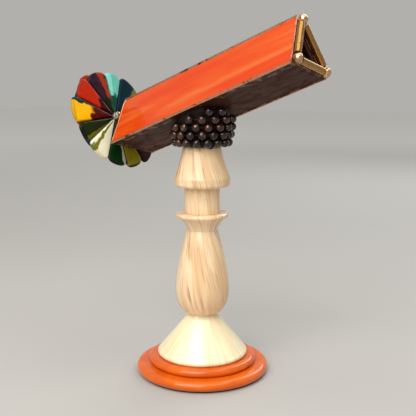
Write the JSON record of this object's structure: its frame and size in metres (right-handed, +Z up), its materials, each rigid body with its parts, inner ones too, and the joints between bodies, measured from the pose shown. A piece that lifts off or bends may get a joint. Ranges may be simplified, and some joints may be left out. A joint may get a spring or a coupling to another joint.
{
  "type": "kaleidoscope",
  "caption": "Three-sided stained-glass kaleidoscope with two fused-glass wheels, on a bead collar that swivels on a turned pedestal with a round base.",
  "frame": {"origin": "centre of the felt's underside, on the pedestal's axis", "axes": "+Z up the pedestal, +X towards the side that the eyepiece points to, +Y to the back of the tube"},
  "size_m": [0.228, 0.115, 0.303],
  "materials": {
    "banded_stone": "polished cream stone with brown streaks",
    "bead_metal": "dark copper patina, glossy",
    "blue_glass": "fused cobalt glass",
    "brass": "aged brass",
    "brown_glass": "dark brown opal glass",
    "clear_glass": "clear",
    "copper_foil": "solder with a copper patina",
    "cream_glass": "fused cream glass",
    "felt": "matt black felt",
    "foam": "black foam strip",
    "green_glass": "fused dark green glass",
    "mirror": "first-surface mirror",
    "nylon": "natural nylon",
    "orange_glass": "streaky opal orange art glass",
    "orange_glass_base": "glossy opaque orange glass",
    "patina_drum": "dark patina",
    "plated_steel": "plated steel",
    "plum_glass": "fused streaky plum glass",
    "red_glass": "fused red glass",
    "solder": "bright coppered solder",
    "turquoise_glass": "fused turquoise glass",
    "yellow_glass": "fused yellow glass"
  },
  "bodies": {
    "stand": {"felt_pad": "felt", "base_disc": "orange_glass_base", "step_disc": "orange_glass_base", "foot_cone": "banded_stone", "baluster": "banded_stone", "dish_collar": "banded_stone", "neck_column": "banded_stone", "capital": "banded_stone", "stand_rod": "plated_steel", "base_washer": "plated_steel", "base_nut": "plated_steel", "top_washer": "plated_steel", "top_nut": "plated_steel", "thrust_washer": "nylon"},
    "scope": {"swivel_bush": "brass", "bead_drum": "patina_drum", "bead_row_1": "bead_metal", "bead_row_2": "bead_metal", "bead_row_3": "bead_metal", "bead_rows_top": "bead_metal", "front_panel": "orange_glass", "back_panel": "orange_glass", "bottom_panel": "brown_glass", "apex_seam": "copper_foil", "front_seam": "copper_foil", "back_seam": "copper_foil", "eyepiece_frame": "copper_foil", "front_trim": "brass", "back_trim": "brass", "bottom_trim": "brass", "eyepiece_balls": "solder", "eyepiece_glass": "clear_glass", "object_frame": "copper_foil", "object_glass": "clear_glass", "front_mirror": "mirror", "back_mirror": "mirror", "bottom_mirror": "mirror", "mirror_packing": "foam", "wheel_axle": "brass", "axle_solder": "solder", "inner_collar": "brass", "wheel_spacer": "brass", "axle_cap": "brass"},
    "near_wheel": {"near_hub": "brass", "near_disc": "clear_glass", "near_blue": "blue_glass", "near_turquoise": "turquoise_glass", "near_plum": "plum_glass", "near_red": "red_glass", "near_yellow": "yellow_glass", "near_green": "green_glass", "near_cream": "cream_glass"},
    "far_wheel": {"far_hub": "brass", "far_disc": "clear_glass", "far_blue": "blue_glass", "far_plum": "plum_glass", "far_red": "red_glass", "far_yellow": "yellow_glass", "far_green": "green_glass", "far_cream": "cream_glass"}
  },
  "joints": [
    {"name": "scope_swivel", "type": "hinge", "parent": "stand", "child": "scope", "pos_m": [0, 0, 0.1978], "axis": [0, 0, 1], "continuous": true},
    {"name": "near_wheel_spin", "type": "hinge", "parent": "scope", "child": "near_wheel", "pos_m": [-0.09465, -0.00198, 0.21977], "axis": [-0.9336, 0, -0.3584], "continuous": true},
    {"name": "far_wheel_spin", "type": "hinge", "parent": "scope", "child": "far_wheel", "pos_m": [-0.10268, -0.00198, 0.21668], "axis": [-0.9336, 0, -0.3584], "continuous": true}
  ]
}
